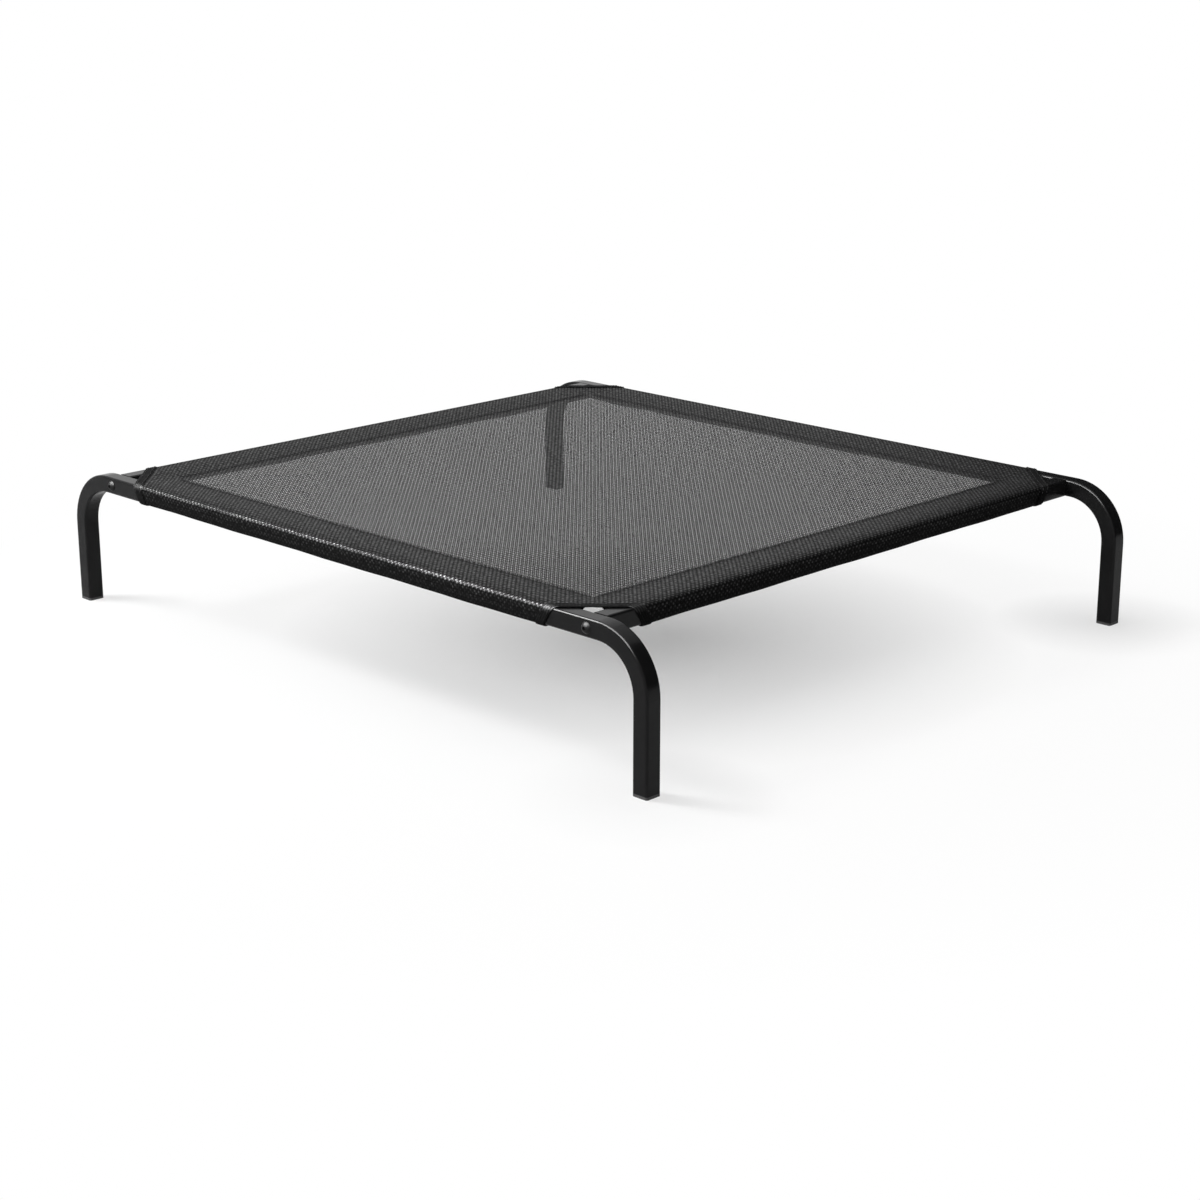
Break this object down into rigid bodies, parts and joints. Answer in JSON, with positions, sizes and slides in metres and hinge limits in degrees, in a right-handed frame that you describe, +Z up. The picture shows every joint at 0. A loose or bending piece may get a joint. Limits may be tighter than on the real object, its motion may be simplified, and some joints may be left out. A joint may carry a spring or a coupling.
{
  "type": "raised dog cot",
  "caption": "Low raised dog cot: open mesh fabric stretched by edge sleeves over a bolted frame of bent square-tube legs and straight side rails.",
  "frame": {"origin": "on the floor, under the middle of the bed", "axes": "+X along the leg frames to the right, +Y along the side rails to the rear, +Z up"},
  "size_m": [0.92, 0.7816, 0.16],
  "materials": {
    "frame_paint": "black semi-gloss powder coat",
    "plug_steel": "plain zinc-plated steel",
    "bolt_black": "bright black plated steel",
    "foot_plastic": "moulded black plastic",
    "mesh_fabric": "black open mesh of coated yarn",
    "tape_fabric": "close woven black tape"
  },
  "bodies": {
    "root": {"front_leg_frame": "frame_paint", "rear_leg_frame": "frame_paint", "left_rail": "frame_paint", "right_rail": "frame_paint", "front_left_plug": "plug_steel", "front_right_plug": "plug_steel", "rear_left_plug": "plug_steel", "rear_right_plug": "plug_steel", "front_left_bolt": "bolt_black", "front_right_bolt": "bolt_black", "rear_left_bolt": "bolt_black", "rear_right_bolt": "bolt_black", "front_left_foot": "foot_plastic", "front_right_foot": "foot_plastic", "rear_left_foot": "foot_plastic", "rear_right_foot": "foot_plastic", "bed_panel": "mesh_fabric", "front_sleeve": "mesh_fabric", "rear_sleeve": "mesh_fabric", "left_sleeve": "mesh_fabric", "right_sleeve": "mesh_fabric", "front_left_tape": "tape_fabric", "front_right_tape": "tape_fabric", "rear_left_tape": "tape_fabric", "rear_right_tape": "tape_fabric"}
  },
  "joints": []
}
